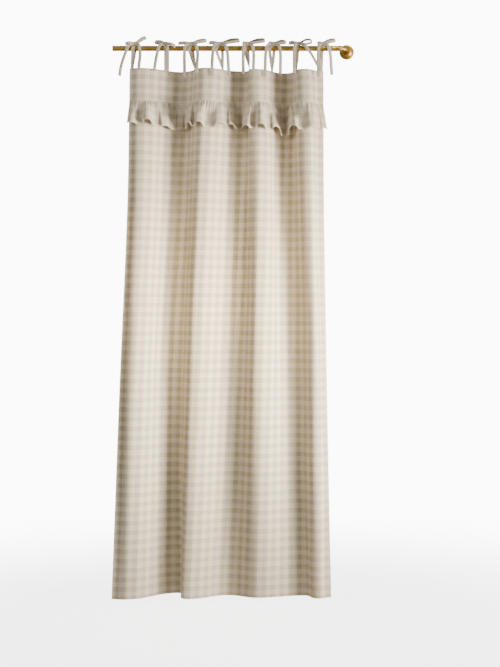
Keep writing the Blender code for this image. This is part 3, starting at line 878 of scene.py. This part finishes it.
def sum_up(tree, operation, *values):
    """A Math node on numbers or outputs."""
    node = put(tree, "Math", {"operation": operation})
    for socket, value in zip(node.inputs, values):
        feed(tree, socket, value)
    return node.outputs[0]


def ramp(tree, value, low, high, start=0.0, end=1.0):
    """Turn a range of values smoothly into another range."""
    smooth = {"interpolation_type": "SMOOTHSTEP"}
    node = put(tree, "MapRange", smooth, Value=value, From_Min=low, From_Max=high, To_Min=start, To_Max=end)
    return node.outputs[0]


def blend_colours(tree, share, first, second, how="MIX"):
    node = put(tree, "Mix", {"data_type": "RGBA", "blend_type": how})
    for index, value in ((0, share), (6, first), (7, second)):
        feed(tree, node.inputs[index], value)
    return node.outputs[2]


def mix_shaders(tree, share, first, second):
    node = put(tree, "MixShader")
    feed(tree, node.inputs[0], share)
    tree.links.new(first.outputs[0], node.inputs[1])
    tree.links.new(second.outputs[0], node.inputs[2])
    return node.outputs[0]


def new_group(name, inputs, outputs):
    tree = bpy.data.node_groups.new(name, "ShaderNodeTree")
    for label, kind, value in inputs:
        socket = tree.interface.new_socket(label, in_out="INPUT", socket_type="NodeSocket" + kind)
        if value is not None:
            socket.default_value = value
    for label, kind in outputs:
        tree.interface.new_socket(label, in_out="OUTPUT", socket_type="NodeSocket" + kind)
    return tree, tree.nodes.new("NodeGroupInput"), tree.nodes.new("NodeGroupOutput")


def stretched_noise(tree, place, size, detail=1.0):
    """Noise on the flat cloth with its own size across and down."""
    across, down = size
    stretch = put(tree, "Mapping", Vector=place, Scale=(1 / across, 1 / down, 1.0))
    flat = {"noise_dimensions": "2D"}
    grain = put(tree, "TexNoise", flat, Vector=stretch.outputs[0], Scale=1.0, Detail=detail)
    return grain.outputs[0]


def yarn_check_group():
    """Two yarns woven in a check: its colour, the height of the yarns, and their roughness."""
    tree, given, result = new_group(
        "Yarn check",
        (
            ("Flat cloth", "Vector", None),
            ("Pale yarn", "Color", (0.8, 0.8, 0.8, 1.0)),
            ("Dark yarn", "Color", (0.5, 0.5, 0.5, 1.0)),
            ("Repeat", "Float", CHECK_REPEAT),
            ("Row phase", "Float", 0.0),
            ("Yarn pitch", "Float", YARN),
            ("Slub", "Float", 1.0),
        ),
        (("Color", "Color"), ("Height", "Float"), ("Roughness", "Float")),
    )
    place = given.outputs["Flat cloth"]
    axes = put(tree, "SeparateXYZ", Vector=place)
    u = axes.outputs[0]
    v = sum_up(tree, "ADD", axes.outputs[1], given.outputs["Row phase"])
    repeat = given.outputs["Repeat"]
    half = sum_up(tree, "MULTIPLY", repeat, 0.5)
    low, high = [sum_up(tree, "MULTIPLY", repeat, share) for share in BAND_FADES]
    warp_band = ramp(tree, sum_up(tree, "PINGPONG", u, half), low, high)
    weft_band = ramp(tree, sum_up(tree, "PINGPONG", v, half), low, high)
    pale = given.outputs["Pale yarn"]
    dark = given.outputs["Dark yarn"]
    warp = blend_colours(tree, warp_band, pale, dark)
    weft = blend_colours(tree, weft_band, pale, dark)

    turn = sum_up(tree, "DIVIDE", math.pi, given.outputs["Yarn pitch"])
    wave_u = sum_up(tree, "SINE", sum_up(tree, "MULTIPLY", u, turn))
    wave_v = sum_up(tree, "SINE", sum_up(tree, "MULTIPLY", v, turn))
    over = ramp(tree, sum_up(tree, "MULTIPLY", wave_u, wave_v), -0.15, 0.15)
    shown = sum_up(tree, "MULTIPLY_ADD", over, 0.7, 0.15)
    colour = blend_colours(tree, shown, weft, warp)

    threads_down = stretched_noise(tree, place, THREAD_SIZE)
    threads_across = stretched_noise(tree, place, THREAD_SIZE[::-1])
    bars_down = stretched_noise(tree, place, BAR_SIZE)
    bars_across = stretched_noise(tree, place, BAR_SIZE[::-1])
    wash = stretched_noise(tree, place, WASH_SIZE, detail=2.0)
    streaks = sum_up(tree, "ADD", threads_down, threads_across)
    bars = sum_up(tree, "ADD", bars_down, bars_across)
    light = sum_up(tree, "MULTIPLY_ADD", streaks, THREAD_TONE, 1 - THREAD_TONE)
    light = sum_up(tree, "ADD", light, sum_up(tree, "MULTIPLY_ADD", bars, BAR_TONE, -BAR_TONE))
    light = sum_up(tree, "ADD", light, sum_up(tree, "MULTIPLY_ADD", wash, WASH_TONE, -WASH_TONE / 2))
    uneven_light = sum_up(tree, "SUBTRACT", light, 1.0)
    light = sum_up(tree, "MULTIPLY_ADD", uneven_light, given.outputs["Slub"], 1.0)
    tone = put(tree, "CombineColor", Red=light, Green=light, Blue=light)
    colour = blend_colours(tree, 1.0, colour, tone.outputs[0], "MULTIPLY")
    tree.links.new(colour, result.inputs["Color"])

    under = sum_up(tree, "SUBTRACT", 1.0, over)
    lift_warp = sum_up(tree, "MULTIPLY", over, sum_up(tree, "ABSOLUTE", wave_u))
    lift_weft = sum_up(tree, "MULTIPLY", under, sum_up(tree, "ABSOLUTE", wave_v))
    lift = sum_up(tree, "ADD", lift_warp, lift_weft)
    height = sum_up(tree, "ADD", lift, sum_up(tree, "MULTIPLY", streaks, 0.6))
    tree.links.new(height, result.inputs["Height"])
    rough = ramp(tree, height, 0.4, 1.8, 0.95, 0.78)
    tree.links.new(rough, result.inputs["Roughness"])
    return tree


def stitch_group():
    """A row of stitches: where the thread shows, by the distance off the row and along it."""
    tree, given, result = new_group(
        "Stitch row",
        (
            ("Off", "Float", 0.0),
            ("Along", "Float", 0.0),
            ("Pitch", "Float", 0.003),
            ("Width", "Float", 0.0007),
        ),
        (("Mask", "Float"),),
    )
    width = given.outputs["Width"]
    off = sum_up(tree, "ABSOLUTE", given.outputs["Off"])
    beside = ramp(tree, off, sum_up(tree, "MULTIPLY", width, 0.35), width, 1.0, 0.0)
    phase = sum_up(tree, "FRACT", sum_up(tree, "DIVIDE", given.outputs["Along"], given.outputs["Pitch"]))
    dives_up = ramp(tree, phase, 0.08, 0.16)
    dives_down = ramp(tree, phase, 0.74, 0.84, 1.0, 0.0)
    stroke = sum_up(tree, "MULTIPLY", dives_up, dives_down)
    tree.links.new(sum_up(tree, "MULTIPLY", beside, stroke), result.inputs["Mask"])
    return tree


def new_material(name):
    material = bpy.data.materials.new(name)
    material.use_nodes = True
    material.node_tree.nodes.clear()
    output = material.node_tree.nodes.new("ShaderNodeOutputMaterial")
    return material, material.node_tree, output


def cloth_material(name, look, check, stitches, rows, rim=None):
    """Woven check cloth. rows: each stitch row as (axis, place), measured on the flat cloth.

    rim: how far down the flat cloth the colour turns paler, most of the way to the pale yarn, down to the
    edge.
    """
    material, tree, output = new_material(name)
    flat = put(tree, "UVMap", {"uv_map": "Flat cloth"}).outputs[0]
    woven = put(
        tree,
        "Group",
        {"node_tree": check},
        Flat_cloth=flat,
        Pale_yarn=look.pale,
        Dark_yarn=look.dark,
        Repeat=look.repeat,
        Row_phase=look.row_phase,
    )
    colour = woven.outputs["Color"]
    height = woven.outputs["Height"]
    axes = put(tree, "SeparateXYZ", Vector=flat)
    for axis, place in rows:
        off = sum_up(tree, "SUBTRACT", axes.outputs[axis], place)
        row = put(tree, "Group", {"node_tree": stitches}, Off=off, Along=axes.outputs[1 - axis])
        mask = row.outputs["Mask"]
        colour = blend_colours(tree, sum_up(tree, "MULTIPLY", mask, 0.5), colour, look.pale)
        dip = ramp(tree, sum_up(tree, "ABSOLUTE", off), 0.0004, 0.0022, -1.6, 0.0)
        thread = sum_up(tree, "MULTIPLY", mask, 2.2)
        height = sum_up(tree, "ADD", height, sum_up(tree, "ADD", dip, thread))
    if rim:
        # From rim down to the edge the colour turns paler, towards the pale yarn.
        paler_to_edge = ramp(tree, axes.outputs[DOWN], rim - 0.001, rim, 0.0, 0.8)
        colour = blend_colours(tree, paler_to_edge, colour, look.pale)
    bump = put(tree, "Bump", Strength=0.35, Distance=0.0004, Height=height)
    shader = put(
        tree,
        "BsdfPrincipled",
        Base_Color=colour,
        Roughness=woven.outputs["Roughness"],
        Specular_IOR_Level=0.25,
        Sheen_Weight=0.12,
        Sheen_Roughness=0.6,
        Normal=bump.outputs[0],
    )
    through = put(tree, "BsdfTranslucent", Color=colour, Normal=bump.outputs[0])
    surface = mix_shaders(tree, look.sheer, shader, through)
    tree.links.new(surface, output.inputs["Surface"])
    return material


def brass_material():
    material, tree, output = new_material("satin_brass")
    place = put(tree, "TexCoord").outputs["Object"]
    drawn = put(tree, "Mapping", Vector=place, Scale=(6.0, 900.0, 900.0))
    lines = put(tree, "TexNoise", Vector=drawn.outputs[0], Scale=1.0, Detail=2.0).outputs[0]
    clouds = put(tree, "TexNoise", Vector=place, Scale=38.0, Detail=3.0).outputs[0]
    specks = put(tree, "TexNoise", Vector=place, Scale=900.0, Detail=1.0).outputs[0]
    tint = ramp(tree, clouds, 0.3, 0.7)
    colour = blend_colours(tree, tint, BRASS_DARK, BRASS_PALE)
    cloudy = ramp(tree, clouds, 0.3, 0.7, 0.40, 0.46)
    rough = sum_up(tree, "ADD", cloudy, sum_up(tree, "MULTIPLY", lines, 0.06))
    grain = sum_up(tree, "ADD", lines, sum_up(tree, "MULTIPLY", specks, 0.3))
    bump = put(tree, "Bump", Strength=0.015, Distance=0.0001, Height=grain)
    shader = put(
        tree,
        "BsdfPrincipled",
        Base_Color=colour,
        Metallic=1.0,
        Roughness=rough,
        Specular_Tint=BRASS_TINT,
        Normal=bump.outputs[0],
    )
    tree.links.new(shader.outputs[0], output.inputs["Surface"])
    return material


def floor_material():
    """Pale floor with a soft contact shade, fading into the white backdrop."""
    material, tree, output = new_material("pale_floor")
    place = put(tree, "TexCoord").outputs["Object"]
    away = put(tree, "VectorMath", {"operation": "LENGTH"})
    tree.links.new(place, away.inputs[0])
    fade = ramp(tree, away.outputs["Value"], *FLOOR_FADES)
    shader = put(tree, "BsdfPrincipled", Base_Color=(0.90, 0.89, 0.87, 1.0), Roughness=0.8)
    seen = put(tree, "LightPath").outputs["Is Camera Ray"]
    near_strength = sum_up(tree, "MULTIPLY", seen, FLOOR_GLOW)
    far_strength = sum_up(tree, "MULTIPLY", seen, BACKDROP)
    near_glow = put(tree, "Emission", Color=(1.0, 0.99, 0.98, 1.0), Strength=near_strength)
    far_glow = put(tree, "Emission", Color=(1.0, 1.0, 1.0, 1.0), Strength=far_strength)
    near = put(tree, "AddShader")
    tree.links.new(shader.outputs[0], near.inputs[0])
    tree.links.new(near_glow.outputs[0], near.inputs[1])
    surface = mix_shaders(tree, fade, near, far_glow)
    tree.links.new(surface, output.inputs["Surface"])
    return material


def build_floor():
    deselect()
    bpy.ops.mesh.primitive_circle_add(
        vertices=96,
        radius=FLOOR_RADIUS,
        fill_type="NGON",
        location=(0, 0, 0),
    )
    floor = bpy.context.object
    floor.name = "floor"
    floor.location = (PANEL_MIDDLE_X, -0.6, PANEL_TOP_Z - PANEL_DROP - FLOOR_BELOW_HEM)
    floor.data.materials.append(floor_material())


def add_lamp(lamp):
    light = bpy.data.lights.new(lamp.name, "AREA")
    light.shape = "RECTANGLE"
    light.size = lamp.width
    light.size_y = lamp.height
    light.energy = lamp.power
    light.color = lamp.colour
    light.spread = math.radians(lamp.spread)
    thing = bpy.data.objects.new(lamp.name, light)
    bpy.context.scene.collection.objects.link(thing)
    thing.location = lamp.place
    beam = Vector(lamp.aim) - Vector(lamp.place)
    thing.rotation_euler = beam.to_track_quat("-Z", "Y").to_euler()
    thing.visible_camera = False


def light_studio():
    """The lamps, and a world that is bright to the camera and dim to everything it lights."""
    for lamp in LAMPS:
        add_lamp(lamp)
    world = bpy.data.worlds.new("studio")
    bpy.context.scene.world = world
    world.use_nodes = True
    tree = world.node_tree
    tree.nodes.clear()
    seen = put(tree, "Background", Color=(1.0, 1.0, 1.0, 1.0), Strength=BACKDROP)
    lit = put(tree, "Background", Color=(1.0, 0.985, 0.965, 1.0), Strength=ROOM_LIGHT)
    to_camera = put(tree, "LightPath").outputs["Is Camera Ray"]
    surface = mix_shaders(tree, to_camera, lit, seen)
    output = put(tree, "OutputWorld")
    tree.links.new(surface, output.inputs["Surface"])


def place_camera():
    lens = bpy.data.cameras.new("camera")
    lens.lens = CAMERA_LENS
    lens.sensor_width = 36.0
    lens.shift_x, lens.shift_y = CAMERA_SHIFT
    camera = bpy.data.objects.new("camera", lens)
    bpy.context.scene.collection.objects.link(camera)
    camera.location = CAMERA_PLACE
    camera.rotation_euler = (math.pi / 2, 0, 0)
    bpy.context.scene.camera = camera


def finish_piece(piece, material, slot, *nodes):
    piece.data.materials.clear()
    piece.data.materials.append(material)
    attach(piece, "root")
    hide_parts(*nodes)


place_camera()
light_studio()
build_floor()

check = yarn_check_group()
stitches = stitch_group()
panel_rows = (
    (ACROSS, SIDE_HEM),
    (ACROSS, PANEL_WIDTH - SIDE_HEM),
    (DOWN, TOP_HEM),
    (DOWN, PANEL_DROP - BOTTOM_HEM),
)
panel_cloth = cloth_material("check_cloth", PANEL_LOOK, check, stitches, panel_rows)
ruffle_rim = RUFFLE_DEPTH - RUFFLE_HEM
ruffle_rows = ((DOWN, RUFFLE_SEAM_STITCH), (DOWN, ruffle_rim))
# The ruffle's cloth carries painted shade in its darker yarn colours.
ruffle_cloth = cloth_material("ruffle_cloth", RUFFLE_LOOK_WITH_PAINTED_SHADE, check, stitches, ruffle_rows, ruffle_rim)
strap_rows = ((ACROSS, STRAP_STITCH), (ACROSS, STRAP_WIDTH - STRAP_STITCH))
strap_cloth = cloth_material("strap_cloth", STRAP_LOOK, check, stitches, strap_rows)
brass = brass_material()

panel, panel_grid, panel_flat = build_panel()
finish_piece(panel, panel_cloth, "check_cloth", "panel")

ruffle, ruffle_length = build_ruffle(panel_grid, panel_flat)
finish_piece(ruffle, ruffle_cloth, "ruffle_cloth", "ruffle")

for number, tie in enumerate(TIES, start=1):
    bow, length = build_tie(number, tie, panel_grid, panel_flat)
    finish_piece(bow, strap_cloth, "strap_cloth", "tie_%d" % number)

finish_piece(build_rod(), brass, "brass", "rod")
finish_piece(build_rod_return(), brass, "brass", "rod_return")
finish_piece(build_flange(), brass, "brass", "wall_flange")
